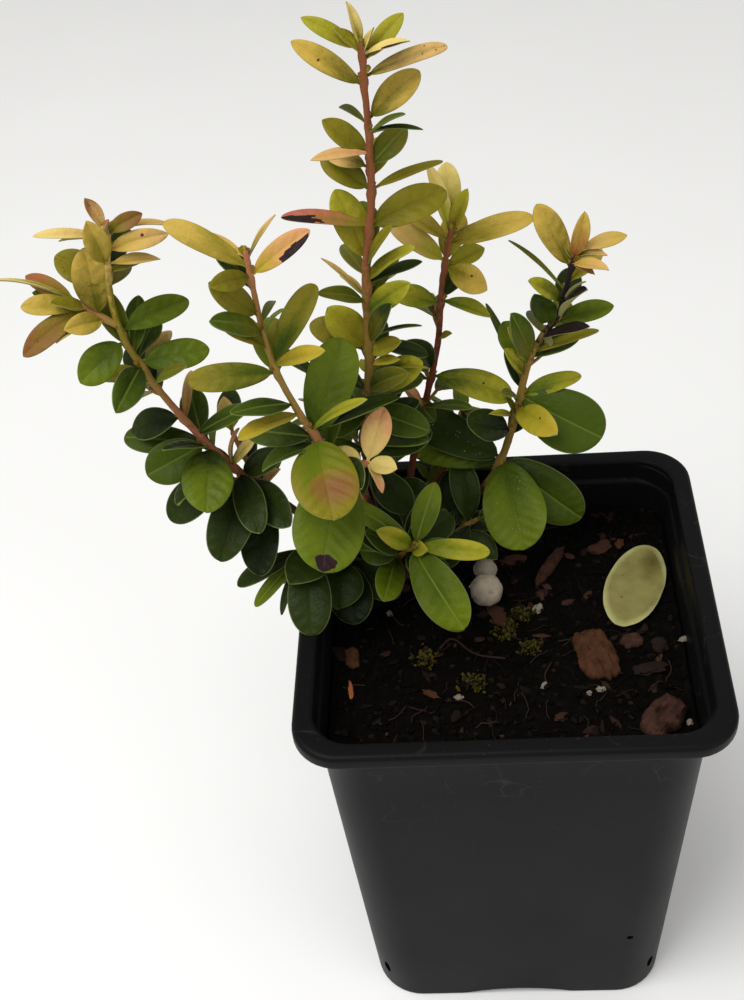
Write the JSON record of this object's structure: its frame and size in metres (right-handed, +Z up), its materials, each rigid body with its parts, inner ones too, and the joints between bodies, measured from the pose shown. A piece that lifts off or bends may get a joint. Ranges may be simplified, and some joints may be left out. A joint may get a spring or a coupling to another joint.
{
  "type": "potted lingonberry shrub",
  "caption": "Young evergreen lingonberry shrub with several upright leafy shoots, in a square black nursery pot filled with peat.",
  "frame": {"origin": "middle of the pot's flat underside, where it stands", "axes": "+Z up, -Y towards the pot's front as pictured, +X to the viewer's right"},
  "size_m": [0.1383, 0.093, 0.236],
  "materials": {
    "pot_plastic": "satin black, dusty",
    "peat": "matt, crumbly",
    "young_bark": "matt red-brown",
    "foliage": "leathery, satin",
    "bead_coat": "matt off-white",
    "bark_chip": "rough",
    "yellow_leaf": "satin"
  },
  "bodies": {
    "root": {"pot": "pot_plastic", "soil": "peat", "trunk": "young_bark", "bough_left": "young_bark", "bough_mid_left": "young_bark", "bough_centre_right": "young_bark", "bough_right": "young_bark", "bough_front": "young_bark", "bough_low_front": "young_bark", "bough_low_right": "young_bark", "bough_back_left": "young_bark", "bough_back_middle": "young_bark", "bough_back_right": "young_bark", "leaves_leader": "foliage", "leaves_left": "foliage", "leaves_mid_left": "foliage", "leaves_centre_right": "foliage", "leaves_right": "foliage", "leaves_front": "foliage", "leaves_low_front": "foliage", "leaves_low_right": "foliage", "leaves_back_left": "foliage", "leaves_back_middle": "foliage", "leaves_back_right": "foliage", "bead_1": "bead_coat", "bead_2": "bead_coat", "chip_1": "bark_chip", "chip_2": "bark_chip", "chip_3": "bark_chip", "chip_4": "bark_chip", "chip_5": "bark_chip", "chip_6": "bark_chip", "fallen_leaf": "yellow_leaf"}
  },
  "joints": []
}
